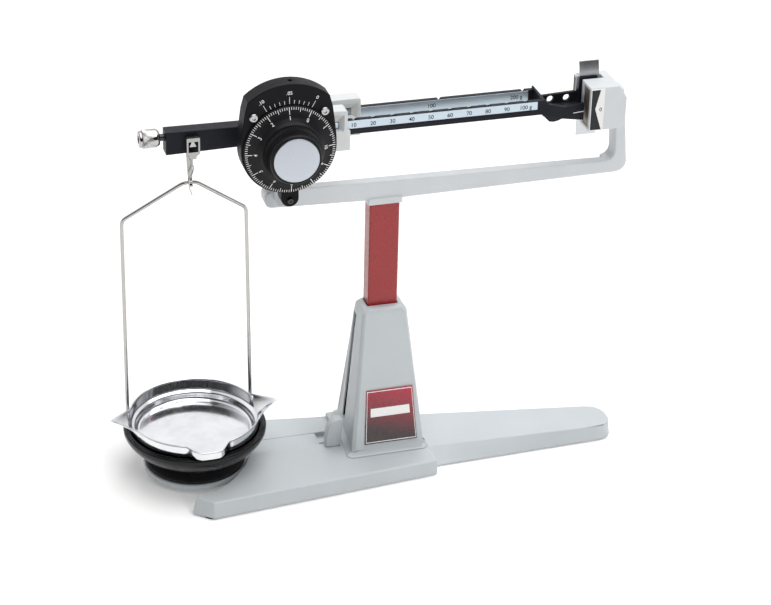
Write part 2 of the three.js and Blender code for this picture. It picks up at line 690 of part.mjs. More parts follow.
function pan() {
  const profile = [
    [0, 26.6], [41, 26.6], [44, 29.6], [46, 35.8], [47.6, 37.8], [48.9, 43.4], [49.6, 45.4],
      [50.5, 46.9], [50.7, 47.8],
    [49.7, 48], [48.4, 45.8], [47.4, 42], [46.6, 38.8], [45, 36.8], [43, 30.4], [40.4, 27.8], [0, 27.8],
  ];
  const g = new THREE.LatheGeometry(profile.map((p) => new THREE.Vector2(...p)), 72);
  g.rotateX(Math.PI / 2);
  const at = g.attributes.position;
  for (let i = 0; i < at.count; i++) {
    const [x, y, z] = [at.getX(i), at.getY(i), at.getZ(i)];
    const r = Math.hypot(x, y);
    const height = THREE.MathUtils.clamp((z - SPOUT.z0) / (SPOUT.z1 - SPOUT.z0), 0, 1) ** 1.2;
    if (r < 40 || height === 0) continue;
    const bearing = THREE.MathUtils.radToDeg(Math.atan2(y, x));
    for (const [centre, tip] of SPOUT.tips) {
      const share = spoutShare(bearing, centre) * height;
      const grow = 1 + (share * SPOUT.reach) / r;
      at.setXYZ(i, at.getX(i) * grow, at.getY(i) * grow, at.getZ(i) + share * (tip - SPOUT.z1));
    }
  }
  return solid(g).translate([PAN[0], PAN[1], 0]);
}

// ---- platform ----
function platformDisc() {
  const [x, y] = PAN;
  const plate = lathe([[0, 4], [39.6, 4], [40.5, 4.8], [40.5, 8.4], [39.9, 9], [38.5, 9], [38.5, 7.6],
    [0, 7.6]], ROUND);
  const arm = box(-111, -48.6, -CHANNEL_Y + 0.4, CHANNEL_Y - 0.4, 4.9, 8.8)
    .add(box(-50, -35.6, -ARM_Y, ARM_Y, 4.9, 8.8));
  const seat = rod("z", 38.5, 7.6, 12, [0, 0], ROUND).translate([x, y, 0]);
  return plate.translate([x, y, 0]).add(arm).subtract(seat);
}

function platformMat() {
  return lathe([[0, 7.9], [38.2, 7.9], [38.2, 10.4], [37.6, 11],
    [0, 11]], ROUND).translate([PAN[0], PAN[1], 0]);
}

function arrestLever() {
  const [y0, y1] = LEVER_Y;
  const fin = wall([[-47.3, 13.9], [-35.4, 13.9], [-33.6, 37.2], [-34.2, 37.8], [-38.6, 37.6], [-41.2, 36.5],
    [-43.5, 34.4], [-45.1, 31.4], [-46.2, 26.8], [-47.1, 20]], y0, y1, 0.8);
  const riser = box(-40.2, -36.4, y1 - 0.5, -8.6, 9.1, 20);
  const foot = box(-40.2, -36.4, -9.4, ARM_Y, 9.1, 12.4);
  return fin.add(riser).add(foot);
}

// ---- assembly ----
const NODES = {
  base_casting: [baseCasting, GREY],
  tower_casting: [towerCasting, GREY],
  label_plate: [labelPlate, [0x7a0f16, 0.3, 0.0]],
  column_tube: [columnTube, [0xa81420, 0.22, 0.0]],
  column_clamp_screw: [() => rod("y", 3.2, 13.4, 15.8, [0, 115], 20), CHROME],
  frame_casting: [frameCasting, [0xdadfe0, 0.42, 0.0]],
  bearing_front: [() => veeBearing(-16.7, -8.3), [0x6e5a48, 0.25, 0.0]],
  bearing_rear: [() => veeBearing(8.3, 16.7), [0x6e5a48, 0.25, 0.0]],
  damper_magnet_front: [() => damperMagnet(BOX.x0, -14.5, -3.5), [0x6b5f55, 0.5, 0.6]],
  damper_magnet_rear: [() => damperMagnet(BOX_REAR_X, 10.3, 13.3), [0x6b5f55, 0.5, 0.6]],
  index_plate: [indexPlate, [0xf0f2f2, 0.35, 0.0]],
  dial_housing: [dialHousing, BLACK],
  housing_screw_left: [() => screwHead(-108.4, 311.5, HOUSING_Y[0] - GAP, 3.3), CHROME],
  housing_screw_right: [() => screwHead(-56, 311.5, HOUSING_Y[0] - GAP, 3.3), CHROME],
  lug_screw: [() => screwHead(-80.6, 241.4, -33.4 - GAP, 2.4), [0x202024, 0.4, 0.6]],
  spiral_spring: [spiralSpring, [0x9aa0a8, 0.3, 1.0]],
  dial_skirt: [dialSkirt, BLACK],
  dial_knob: [dialKnob, BLACK],
  dial_cap: [dialCap, [0xb9c3cd, 0.35, 0.8]],
  dial_shaft: [dialShaft, CHROME],
  beam_casting: [beamCasting, BLACK],
  main_knife: [mainKnife, CHROME],
  pan_knife: [panKnife, CHROME],
  front_scale: [() => scaleStrip(FRONT_RAIL, 115.9, 284.1), [0xd5dde3, 0.35, 0.6]],
  rear_scale: [() => scaleStrip(REAR_RAIL, 115.4, 282.6), [0xd5dde3, 0.35, 0.6]],
  damper_vane: [damperVane, [0xd0d4d6, 0.3, 1.0]],
  zero_stud: [zeroStud, [0x1b1b1d, 0.4, 0.6]],
  zero_knob: [zeroKnob, CHROME],
  front_poise: [frontPoise, [0xdfe4e3, 0.4, 0.0]],
  rear_poise: [rearPoise, [0xdfe4e3, 0.4, 0.0]],
  stirrup: [stirrup, CHROME],
  hook_wire: [hookWire, CHROME],
  hanger_link: [hangerLink, [0xe3e5e6, 0.35, 0.6]],
  bow_wire: [bowWire, CHROME],
  pan_holder: [panHolder, [0x0e0e10, 0.35, 0.0]],
  pan: [pan, [0xd6d8da, 0.12, 1.0]],
  platform_disc: [platformDisc, [0xbfc6c9, 0.42, 0.0]],
  platform_mat: [platformMat, [0x101012, 0.8, 0.0]],
  arrest_lever: [arrestLever, [0x9aa3a6, 0.45, 0.0]],
};

const root = new THREE.Group();
root.name = "dial_balance";
root.position.set(SHIFT[0], SHIFT[1], 0);

function place(name, man, [color, roughness, metalness]) {
  const material = new THREE.MeshStandardMaterial({ color, roughness, metalness });
  const mesh = new THREE.Mesh(toGeometry(man), material);
  mesh.name = name;
  root.add(mesh);
}

for (const [name, [make, finish]] of Object.entries(NODES)) place(name, make(), finish);
FEET.forEach(([x, y], i) => {
  const foot = lathe([[0, 0], [FOOT_R - 0.4, 0], [FOOT_R, 0.4], [FOOT_R, 1.2],
    [0, 1.2]], 24).translate([x, y, 0]);
  place(`rubber_foot_${i + 1}`, foot, [0x1c1c1e, 0.9, 0.0]);
});

export default root;
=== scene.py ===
import math

import bmesh
import bpy
from mathutils import Matrix, Vector


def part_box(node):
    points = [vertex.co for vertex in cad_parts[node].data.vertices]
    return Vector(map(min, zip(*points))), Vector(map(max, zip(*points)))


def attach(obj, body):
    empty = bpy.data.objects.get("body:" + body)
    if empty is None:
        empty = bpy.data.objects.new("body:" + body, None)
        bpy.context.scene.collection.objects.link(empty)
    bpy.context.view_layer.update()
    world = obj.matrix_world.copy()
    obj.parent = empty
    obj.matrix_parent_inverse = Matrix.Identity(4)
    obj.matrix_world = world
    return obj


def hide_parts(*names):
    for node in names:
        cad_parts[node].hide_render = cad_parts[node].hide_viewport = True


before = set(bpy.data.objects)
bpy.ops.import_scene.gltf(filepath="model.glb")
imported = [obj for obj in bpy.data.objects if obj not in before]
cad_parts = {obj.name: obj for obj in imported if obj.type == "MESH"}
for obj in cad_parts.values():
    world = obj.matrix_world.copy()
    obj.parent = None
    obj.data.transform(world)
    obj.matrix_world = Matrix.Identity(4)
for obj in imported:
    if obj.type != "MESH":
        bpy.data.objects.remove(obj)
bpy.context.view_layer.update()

# ---- driving dimensions, in millimetres, with x and y from the column's axis ----
MM = 0.001
PAN_X = -147.8  # axis of pan and holder; its y is 0
DIAL_Y = -36.4  # back face of the dial
INDEX_FACE = -17.9  # y of the index plate's front
STRIP_FACE = {"front": -12.9, "rear": 7.1}  # y of each graduated strip's front
STRIP_FIGURE_Z = {"front": 286.9, "rear": 286.8}
FRONT_FIGURE, FRONT_PITCH = -42.3, 14.88  # x where the figures count from, and their spacing
REAR_FIGURE, REAR_PITCH = -28.3, 67.1
LIFT = 0.04  # how far a printed mark stands off its surface
ZERO_BEARING = 28.5  # where the dial reads nought, clockwise from the top
DIVISIONS = 120  # on the dial, of which the first hundred and one carry figures
VERNIER = 5.7  # degrees between vernier divisions


def centre(node):
    """Middle of a CAD node's box."""
    lo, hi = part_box(node)
    return (lo + hi) / 2


ORIGIN = Vector((centre("pan_holder").x - PAN_X * MM, centre("pan_holder").y, 0))


def at(x, y, z):
    """A point given in millimetres from the column's axis, in the row frame."""
    return ORIGIN + Vector((x, y, z)) * MM


# ---- material nodes ----
WAVE_UNIT = math.pi / 10  # a wave texture's scale times the distance between its rings


class Finish:
    """A Principled material whose texture nodes work on the piece's own coordinates, in metres."""

    def __init__(self, name, rough, metal=0.0, **uniform):
        self.mat = bpy.data.materials.new(name + "_look")
        self.mat.use_nodes = True
        self.tree = self.mat.node_tree
        self.tree.nodes.clear()
        self.bsdf = self.node("ShaderNodeBsdfPrincipled")
        out = self.node("ShaderNodeOutputMaterial")
        self.link(self.bsdf.outputs[0], out.inputs["Surface"])
        self.coords = self.node("ShaderNodeTexCoord").outputs["Object"]
        self.bsdf.inputs["Roughness"].default_value = rough
        self.bsdf.inputs["Metallic"].default_value = metal
        for socket, value in uniform.items():
            self.bsdf.inputs[socket.replace("_", " ")].default_value = value
        self.normal = None

    def node(self, kind, **settings):
        made = self.tree.nodes.new(kind)
        for key, value in settings.items():
            setattr(made, key, value)
        return made

    def link(self, a, b):
        self.tree.links.new(a, b)

    def stretched(self, scale):
        mapping = self.node("ShaderNodeMapping")
        mapping.inputs["Scale"].default_value = scale
        self.link(self.coords, mapping.inputs["Vector"])
        return mapping.outputs[0]

    def noise(self, scale, detail=3.0, vector=None):
        made = self.node("ShaderNodeTexNoise")
        made.inputs["Scale"].default_value = scale
        made.inputs["Detail"].default_value = detail
        self.link(vector or self.coords, made.inputs["Vector"])
        return made.outputs["Fac"]

    def rings(self, axis, pitch_mm, wobble=0.0):
        made = self.node("ShaderNodeTexWave", wave_type="RINGS", rings_direction=axis)
        made.inputs["Scale"].default_value = WAVE_UNIT / (pitch_mm * MM)
        made.inputs["Distortion"].default_value = wobble
        made.inputs["Detail"].default_value = 2
        self.link(self.coords, made.inputs["Vector"])
        return made.outputs["Fac"]

    def spread(self, value, low, high, start=0.3, end=0.7):
        made = self.node("ShaderNodeMapRange")
        made.inputs["From Min"].default_value = start
        made.inputs["From Max"].default_value = end
        made.inputs["To Min"].default_value = low
        made.inputs["To Max"].default_value = high
        self.link(value, made.inputs["Value"])
        return made.outputs[0]

    def blend(self, factor, a, b):
        made = self.node("ShaderNodeMix", data_type="RGBA")
        self.link(factor, made.inputs[0])
        for slot, colour in ((6, a), (7, b)):
            if isinstance(colour, bpy.types.NodeSocket):
                self.link(colour, made.inputs[slot])
            else:
                made.inputs[slot].default_value = (*colour, 1)
        return made.outputs[2]

    def colour(self, socket):
        self.link(socket, self.bsdf.inputs["Base Color"])

    def rough(self, socket):
        self.link(socket, self.bsdf.inputs["Roughness"])

    def bump(self, height, strength, depth_mm):
        made = self.node("ShaderNodeBump")
        made.inputs["Strength"].default_value = strength
        made.inputs["Distance"].default_value = depth_mm * MM
        self.link(height, made.inputs["Height"])
        if self.normal is not None:
            self.link(self.normal, made.inputs["Normal"])
        self.normal = made.outputs[0]
        self.link(self.normal, self.bsdf.inputs["Normal"])


def shade(colour, factor):
    """A colour made lighter or darker."""
    return tuple(c * factor for c in colour)


def enamel(name, colour, rough, peel=0.25, grain=0.1, edge_wear_and_highlight=None, **uniform):
    """Sprayed paint: slow shade drift, orange peel, fine grain and, where asked, lighter sharp edges that
    stand for rubbed paint and a painted edge highlight.
    """
    f = Finish(name, rough, 0.0, **uniform)
    drift = f.noise(26, 2)
    speck = f.noise(900, 2)
    base = f.blend(f.spread(drift, 0, 1), shade(colour, 0.965), shade(colour, 1.03))
    base = f.blend(f.spread(speck, 0, 0.35), base, shade(colour, 0.93))
    # Sharp edges blend towards a lighter colour: partly rubbed paint, partly a painted highlight along the
    # edges.
    if edge_wear_and_highlight:
        edge = f.node("ShaderNodeNewGeometry").outputs["Pointiness"]
        base = f.blend(f.spread(edge, 0, 0.5, 0.52, 0.62), base, edge_wear_and_highlight)
    f.colour(base)
    f.rough(f.spread(f.noise(140, 4), rough - 0.06, rough + 0.07))
    f.bump(f.noise(1300, 2), peel, 0.05)
    f.bump(f.noise(6500, 2), grain, 0.02)
    return f.mat


def plated(name, colour, low, high, scale=260, brushed=None, strength=0.05):
    """Bare or plated metal: polish that varies, faint handling marks and, if asked, brush lines."""
    f = Finish(name, (low + high) / 2, 1.0)
    cloud = f.noise(scale, 4)
    f.colour(f.blend(f.spread(cloud, 0, 1), shade(colour, 0.93), colour))
    lines = f.noise(1.0, 3, f.stretched(brushed)) if brushed else f.noise(2600, 3)
    mixed = f.node("ShaderNodeMath", operation="MULTIPLY_ADD")
    mixed.inputs[1].default_value = 0.5
    f.link(lines, mixed.inputs[0])
    half = f.node("ShaderNodeMath", operation="MULTIPLY")
    half.inputs[1].default_value = 0.5
    f.link(cloud, half.inputs[0])
    f.link(half.outputs[0], mixed.inputs[2])
    f.rough(f.spread(mixed.outputs[0], low, high))
    f.bump(lines, strength, 0.02)
    return f.mat


def turned(name, colour, rough, metal, axis, pitch_mm, strength, **uniform):
    """A lathe-turned surface: fine rings about the piece's own axis."""
    f = Finish(name, rough, metal, **uniform)
    cloud = f.noise(180, 3)
    f.colour(f.blend(f.spread(cloud, 0, 1), shade(colour, 0.92), shade(colour, 1.05)))
    f.rough(f.spread(f.noise(700, 3), rough - 0.05, rough + 0.06))
    f.bump(f.rings(axis, pitch_mm, 0.4), strength, 0.01)
    f.bump(f.noise(3200, 2), strength, 0.01)
    return f.mat


def rubber(name, colour, rough, dimple):
    """Moulded rubber: uneven shade, dull and finely dimpled."""
    f = Finish(name, rough)
    f.colour(f.blend(f.spread(f.noise(420, 4), 0, 1), shade(colour, 0.75), shade(colour, 1.35)))
    f.rough(f.spread(f.noise(1500, 3), rough - 0.08, min(1.0, rough + 0.1)))
    f.bump(f.noise(2400, 4), dimple, 0.08)
    return f.mat


def ink(name, colour, rough):
    """Printed figures and lines, with slightly uneven coverage."""
    f = Finish(name, rough)
    f.colour(f.blend(f.spread(f.noise(1800, 3), 0, 1), shade(colour, 0.9), colour))
    f.rough(f.spread(f.noise(900, 2), rough - 0.06, rough + 0.06))
    f.bump(f.noise(5000, 2), 0.1, 0.01)
    return f.mat


def agate():
    """Banded brown stone for the bearings."""
    f = Finish("agate", 0.16)
    f.bsdf.inputs["Subsurface Weight"].default_value = 0.15
    bands = f.noise(1.0, 5, f.stretched((240, 240, 1100)))
    f.colour(f.blend(f.spread(bands, 0, 1), (0.12, 0.07, 0.045), (0.32, 0.2, 0.12)))
    f.rough(f.spread(f.noise(700), 0.1, 0.24))
    f.bump(f.noise(2600), 0.04, 0.01)
    return f.mat


def label_look():
    """A plain printed plate that runs from near black at its foot to crimson at its top."""
    f = Finish("label_print", 0.28, 0.0, Coat_Weight=0.5, Coat_Roughness=0.12)
    place = f.node("ShaderNodeSeparateXYZ")
    f.link(f.coords, place.inputs[0])
    lo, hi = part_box("label_plate")
    across = f.spread(place.outputs[0], 0, 0.25, lo.x, hi.x)
    upward = f.spread(place.outputs[2], 0, 1, lo.z, hi.z)
    total = f.node("ShaderNodeMath", operation="ADD")
    f.link(across, total.inputs[0])
    f.link(upward, total.inputs[1])
    tone = f.spread(total.outputs[0], 0, 1, 0.3, 1.15)
    base = f.blend(tone, (0.016, 0.005, 0.007), (0.42, 0.003, 0.03))
    f.colour(f.blend(f.spread(f.noise(1500, 2), 0, 0.25), base, (0.07, 0.004, 0.01)))
    f.rough(f.spread(f.noise(300, 3), 0.2, 0.36))
    f.bump(f.noise(900, 2), 0.05, 0.02)
    return f.mat


def stainless():
    """Spun stainless steel: bright, with fine polishing rings about the pan's axis."""
    f = Finish("stainless", 0.12, 1.0)
    cloud = f.noise(70, 3)
    f.colour(f.blend(f.spread(cloud, 0, 1), (0.70, 0.71, 0.73), (0.80, 0.81, 0.84)))
    rings = f.rings("Z", 0.35, 0.6)
    f.rough(f.spread(f.noise(420, 4), 0.085, 0.17))
    f.bump(rings, 0.035, 0.006)
    f.bump(f.noise(1500, 3), 0.03, 0.01)
    return f.mat


GREY = (0.515, 0.55, 0.57)
PALE = (0.57, 0.595, 0.615)
CHROME = (0.47, 0.46, 0.45)
LOOK = {
    "grey_enamel": enamel("grey_enamel", GREY, 0.42, Coat_Weight=0.12, Coat_Roughness=0.3),
    "frame_enamel": enamel("frame_enamel", PALE, 0.4, Coat_Weight=0.12, Coat_Roughness=0.3),
    "red_enamel": enamel(
        "red_enamel", (0.30, 0.008, 0.01), 0.28, 0.06, 0.03, Coat_Weight=0.15, Coat_Roughness=0.1
    ),
    # Its last colour lightens the sharp edges: rubbed paint and a painted edge highlight.
    "black_enamel": enamel(
        "black_enamel", (0.007, 0.007, 0.0085), 0.42, 0.3, 0.3, (0.022, 0.022, 0.025),
        Specular_IOR_Level=0.1,
    ),
    "black_anodised": turned(
        "black_anodised", (0.011, 0.011, 0.0125), 0.38, 0.0, "Y", 0.32, 0.1, Specular_IOR_Level=0.16
    ),
    # Its last colour lightens the sharp edges: rubbed paint and a painted edge highlight.
    "beam_black": enamel(
        "beam_black", (0.008, 0.009, 0.014), 0.4, 0.2, 0.2, (0.025, 0.026, 0.032),
        Specular_IOR_Level=0.14,
    ),
    "brushed_cap": plated(
        "brushed_cap", (0.52, 0.55, 0.60), 0.36, 0.5, 900, (2600, 2600, 6500), 0.25
    ),
    "bright_steel": plated("bright_steel", (0.44, 0.44, 0.45), 0.16, 0.3),
    "dark_steel": plated("dark_steel", (0.07, 0.07, 0.075), 0.28, 0.42, 500),
    "spring_steel": plated("spring_steel", (0.42, 0.44, 0.48), 0.22, 0.34, 700),
    "scale_metal": plated("scale_metal", (0.55, 0.64, 0.71), 0.34, 0.48, 120, (60, 900, 5200), 0.12),
    "vane_aluminium": plated(
        "vane_aluminium", (0.56, 0.58, 0.60), 0.26, 0.4, 200, (5200, 5200, 90), 0.12
    ),
    "magnet": plated("magnet", (0.24, 0.2, 0.175), 0.42, 0.62, 900, None, 0.3),
    "agate": agate(),
    "bright_plating": plated("bright_plating", CHROME, 0.07, 0.16, 300, None, 0.03),
    "hanger_metal": plated("hanger_metal", shade(CHROME, 0.8), 0.18, 0.32, 300, (5200, 5200, 300), 0.08),
    "stainless": stainless(),
    "gloss_black": enamel(
        "gloss_black", (0.006, 0.006, 0.007), 0.24, 0.1, 0.06, Specular_IOR_Level=0.22, Coat_Weight=0.08
    ),
    # Near-black sheet inside the tower's slot: painted shade for the shadow in the slot.
    "slot_shade_black": rubber("slot_shade_black", (0.008, 0.008, 0.009), 0.85, 0.1),
    "mat_rubber": rubber("mat_rubber", (0.022, 0.022, 0.024), 0.78, 0.35),
    "foot_rubber": rubber("foot_rubber", (0.02, 0.02, 0.02), 0.85, 0.3),
    "white_print": ink("white_print", (0.90, 0.90, 0.89), 0.45),
    "black_print": ink("black_print", (0.006, 0.007, 0.01), 0.6),
    "index_print": ink("index_print", (0.80, 0.80, 0.79), 0.38),
    "label_print": label_look(),
    "poise_enamel": enamel("poise_enamel", (0.61, 0.63, 0.625), 0.4, Coat_Weight=0.1),
}


# ---- CAD nodes that stay: rounded edges, smooth shading, node materials ----
def smoothing():
    """A geometry node group that shades its mesh smooth."""
    tree = bpy.data.node_groups.new("shade_smooth", "GeometryNodeTree")
    tree.interface.new_socket("Geometry", in_out="INPUT", socket_type="NodeSocketGeometry")
    tree.interface.new_socket("Geometry", in_out="OUTPUT", socket_type="NodeSocketGeometry")
    start = tree.nodes.new("NodeGroupInput")
    smooth = tree.nodes.new("GeometryNodeSetShadeSmooth")
    end = tree.nodes.new("NodeGroupOutput")
    tree.links.new(start.outputs[0], smooth.inputs["Geometry"])
    tree.links.new(smooth.outputs[0], end.inputs[0])
    return tree


SMOOTH = smoothing()


def keep(node, look, edge_mm, slot=None, flat_deg=0.5):
    """Shows a CAD node with rounded edges. Faces within flat_deg of level are merged first."""
    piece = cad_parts[node]
    weld = piece.modifiers.new("weld", "WELD")
    weld.merge_threshold = 4e-6
    if flat_deg:
        flat = piece.modifiers.new("flat", "DECIMATE")
        flat.decimate_type = "DISSOLVE"
        flat.angle_limit = math.radians(flat_deg)
    if edge_mm:
        bevel = piece.modifiers.new("edges", "BEVEL")
        bevel.width = edge_mm * MM
        bevel.segments = 3
        bevel.limit_method = "ANGLE"
        bevel.angle_limit = math.radians(28)
        bevel.use_clamp_overlap = False
    piece.modifiers.new("smooth", "NODES").node_group = SMOOTH
    normals = piece.modifiers.new("normals", "WEIGHTED_NORMAL")
    normals.keep_sharp = False
    piece.data.materials.clear()
    piece.data.materials.append(LOOK[look])


KEPT = [  # node, look, edge in mm, slot where it isn't named like the look, merging angle
    ("base_casting", "grey_enamel", 0.8, None, 0.03),  # its long sides are slightly twisted
    ("tower_casting", "grey_enamel", 0.7, None, 0),  # and so are the tower's
    ("label_plate", "label_print", 0.12),
    ("column_tube", "red_enamel", 0.35),
    ("column_clamp_screw", "bright_steel", 0.4),
    ("frame_casting", "frame_enamel", 0.45),
    ("bearing_front", "agate", 0.1),
    ("bearing_rear", "agate", 0.1),
    ("damper_magnet_front", "magnet", 0.3),
    ("damper_magnet_rear", "magnet", 0.3),
    ("index_plate", "index_print", 0.08),
    ("dial_housing", "black_enamel", 0.3),
    ("housing_screw_left", "bright_steel", 0.15),
    ("housing_screw_right", "bright_steel", 0.15),
    ("lug_screw", "dark_steel", 0.15),
    ("spiral_spring", "spring_steel", 0),
    ("dial_shaft", "bright_steel", 0.2),
    ("beam_casting", "beam_black", 0.25, "black_enamel"),
    ("main_knife", "bright_steel", 0.05),
    ("pan_knife", "bright_steel", 0.05),
    ("front_scale", "scale_metal", 0.06, "scale_print"),
    ("rear_scale", "scale_metal", 0.06, "scale_print"),
    ("damper_vane", "vane_aluminium", 0.15),
    ("zero_stud", "dark_steel", 0.2),
    ("front_poise", "poise_enamel", 0.3, "frame_enamel"),
    ("rear_poise", "poise_enamel", 0.3, "frame_enamel"),
    ("stirrup", "hanger_metal", 0.12, "bright_plating"),
    ("hanger_link", "hanger_metal", 0.1, "bright_plating"),
    ("platform_disc", "grey_enamel", 0.3),
    ("platform_mat", "mat_rubber", 0.3, "rubber"),
    ("arrest_lever", "grey_enamel", 0.3),
    ("rubber_foot_1", "foot_rubber", 0.15, "rubber"),
    ("rubber_foot_2", "foot_rubber", 0.15, "rubber"),
    ("rubber_foot_3", "foot_rubber", 0.15, "rubber"),
    ("rubber_foot_4", "foot_rubber", 0.15, "rubber"),
]
for row in KEPT:
    keep(*row)


# ---- mesh helpers ----
def piece_from(bm, name, look, body, origin, nodes=()):
    """Turns a bmesh in millimetres into a piece that rides on body and stands for nodes."""
    bmesh.ops.remove_doubles(bm, verts=bm.verts, dist=1e-4)
    bmesh.ops.recalc_face_normals(bm, faces=bm.faces)
    for face in bm.faces:
        face.smooth = True
    bm.transform(Matrix.Scale(MM, 4))
    mesh = bpy.data.meshes.new(name)
    bm.to_mesh(mesh)
    bm.free()
    mesh.materials.append(LOOK[look])
    mesh.set_sharp_from_angle(angle=math.radians(38))
    obj = bpy.data.objects.new(name, mesh)
    bpy.context.scene.collection.objects.link(obj)
    obj.matrix_world = Matrix.Translation(origin)
    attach(obj, body)
    if nodes:
        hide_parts(*nodes)
    return obj


def eased(profile, radius, cuts=4):
    """The same outline with each corner replaced by a small curve."""
    out = [tuple(profile[0])]
    for before, p, after in zip(profile, profile[1:], profile[2:]):
        here = Vector(p)
        into = Vector(before) - here
        away = Vector(after) - here
        if into.angle(away, 0) > math.radians(177):
            out.append(tuple(here))
            continue
        reach = min(radius, into.length * 0.45, away.length * 0.45)
        a = here + into.normalized() * reach
        b = here + away.normalized() * reach
        for k in range(cuts + 1):
            t = k / cuts
            q = a * (1 - t) ** 2 + here * 2 * t * (1 - t) + b * t**2
            out.append(tuple(q))
    return out + [tuple(profile[-1])]


def divided(profile, step):
    """The same outline with its long runs cut into pieces of at least step."""
    out = [profile[0]]
    for a, b in zip(profile, profile[1:]):
        n = max(1, int(math.dist(a, b) / step))
        out += [(a[0] + (b[0] - a[0]) * k / n, a[1] + (b[1] - a[1]) * k / n) for k in range(1, n + 1)]
    return out


def revolve(profile, steps, move=None):
    """A solid of revolution about +Z. move(radius, height, turn) gives the final radius and height."""
    bm = bmesh.new()
    rings = []
    for radius, height in profile:
        ring = []
        for k in range(1 if radius < 1e-6 else steps):
            turn = 2 * math.pi * k / steps
            r, z = move(radius, height, turn) if move else (radius, height)
            ring.append(bm.verts.new((r * math.cos(turn), r * math.sin(turn), z)))
        rings.append(ring)
    for low, high in zip(rings, rings[1:]):
        for k in range(steps):
            n = (k + 1) % steps
            corners = [low[k % len(low)], low[n % len(low)], high[n % len(high)], high[k % len(high)]]
            unique = list(dict.fromkeys(corners))
            if len(unique) > 2:
                bm.faces.new(unique)
    return bm


def sweep(points, radius, sides):
    """A round bar along points, closed at both ends."""
    bm = bmesh.new()
    path = [Vector(p) for p in points]
    normal = None
    rings = []
    for i, p in enumerate(path):
        tangent = (path[min(i + 1, len(path) - 1)] - path[max(i - 1, 0)]).normalized()
        if normal is None:
            normal = tangent.orthogonal().normalized()
        normal = (normal - tangent * normal.dot(tangent)).normalized()
        side = tangent.cross(normal)
        ring = []
        for k in range(sides):
            a = 2 * math.pi * k / sides
            ring.append(bm.verts.new(p + (normal * math.cos(a) + side * math.sin(a)) * radius))
        rings.append(ring)
    for low, high in zip(rings, rings[1:]):
        for k in range(sides):
            n = (k + 1) % sides
            bm.faces.new((low[k], low[n], high[n], high[k]))
    bm.faces.new(rings[0])
    bm.faces.new(rings[-1])
    return bm


def spline(points, per):
    """Catmull-Rom points through points."""
    pts = [Vector(p) for p in points]
    pts = [pts[0] * 2 - pts[1], *pts, pts[-1] * 2 - pts[-2]]
    out = []
    for i in range(1, len(pts) - 2):
        p0, p1, p2, p3 = pts[i - 1 : i + 3]
        for k in range(per):
            t = k / per
            out.append(
                (p1 * 2 + (p2 - p0) * t + (p0 * 2 - p1 * 5 + p2 * 4 - p3) * t**2
                 + (p1 * 3 - p0 - p2 * 3 + p3) * t**3) / 2
            )
    return out + [pts[-2]]


CAPITAL = 0.7  # height of a capital letter over the size of its font


def glyphs(words, height, bold):
    """Outline triangles of a short text, centred on the origin, as (vertices, faces) in mm."""
    curve = bpy.data.curves.new("text", "FONT")
    curve.body = words
    curve.size = height / CAPITAL
    curve.align_x = "CENTER"
    curve.offset = bold
    obj = bpy.data.objects.new("text", curve)
    bpy.context.scene.collection.objects.link(obj)
    bpy.context.view_layer.update()
    mesh = bpy.data.meshes.new_from_object(obj.evaluated_get(bpy.context.evaluated_depsgraph_get()))
    verts = [Vector((v.co.x, v.co.y - height / 2, 0)) for v in mesh.vertices]
    faces = [tuple(p.vertices) for p in mesh.polygons]
    bpy.data.objects.remove(obj)
    bpy.data.curves.remove(curve)
    bpy.data.meshes.remove(mesh)
    return verts, faces


def add_flat(bm, shape, place):
    """Adds (vertices, faces) to bm, each vertex moved by place."""
    verts, faces = shape
    made = [bm.verts.new(place(v)) for v in verts]
    for face in faces:
        try:
            bm.faces.new([made[i] for i in face])
        except ValueError:
            continue


def bar(u0, u1, v0, v1, cuts=1):
    """A flat strip from u0 to u1 and v0 to v1, cut along v."""
    verts = []
    for k in range(cuts + 1):
        v = v0 + (v1 - v0) * k / cuts
        verts += [Vector((u0, v, 0)), Vector((u1, v, 0))]
    faces = [(2 * k, 2 * k + 1, 2 * k + 3, 2 * k + 2) for k in range(cuts)]
    return verts, faces


# ---- pan and holder ----
RIM_Z = 51.0
WALL_R = 44  # the pan keeps its round shape inside this radius
BEAK = {"tip": 52.5, "reach": 15.9, "half": math.radians(21), "foot": 41.5}
LIP = {"tip": 49.8, "reach": 8.4, "half": math.radians(21), "foot": 40.7}
LIP_SHOULDER = 0.72  # share of the lip's half width over which it comes out of the wall


def beak(off, rise):
    """A side spout's outward share: it runs to a point and flares with height."""
    return max(0.0, 1 - off / BEAK["half"]) ** 1.5, rise**1.3


def lip(off, rise):
    """The front spout's outward share: a level lip that stands out from its foot up."""
    share = min(max(0.0, 1 - off / LIP["half"]) / LIP_SHOULDER, 1)
    return share * share * (3 - 2 * share), min(rise / 0.2, 1) ** 0.7


SPOUTS = [(math.pi, BEAK, beak), (0.0, BEAK, beak), (-math.pi / 2, LIP, lip)]


def spouted(radius, height, turn):
    """Draws the pan's wall out into its pouring spouts."""
    if radius < WALL_R:
        return radius, height
    for bearing, size, shape in SPOUTS:
        off = abs((turn - bearing + math.pi) % (2 * math.pi) - math.pi)
        rise = min(max((height - size["foot"]) / (RIM_Z - size["foot"]), 0), 1)
        share, out = shape(off, rise)
        radius += share * size["reach"] * out
        height += share * (size["tip"] - RIM_Z) * rise
    return radius, height


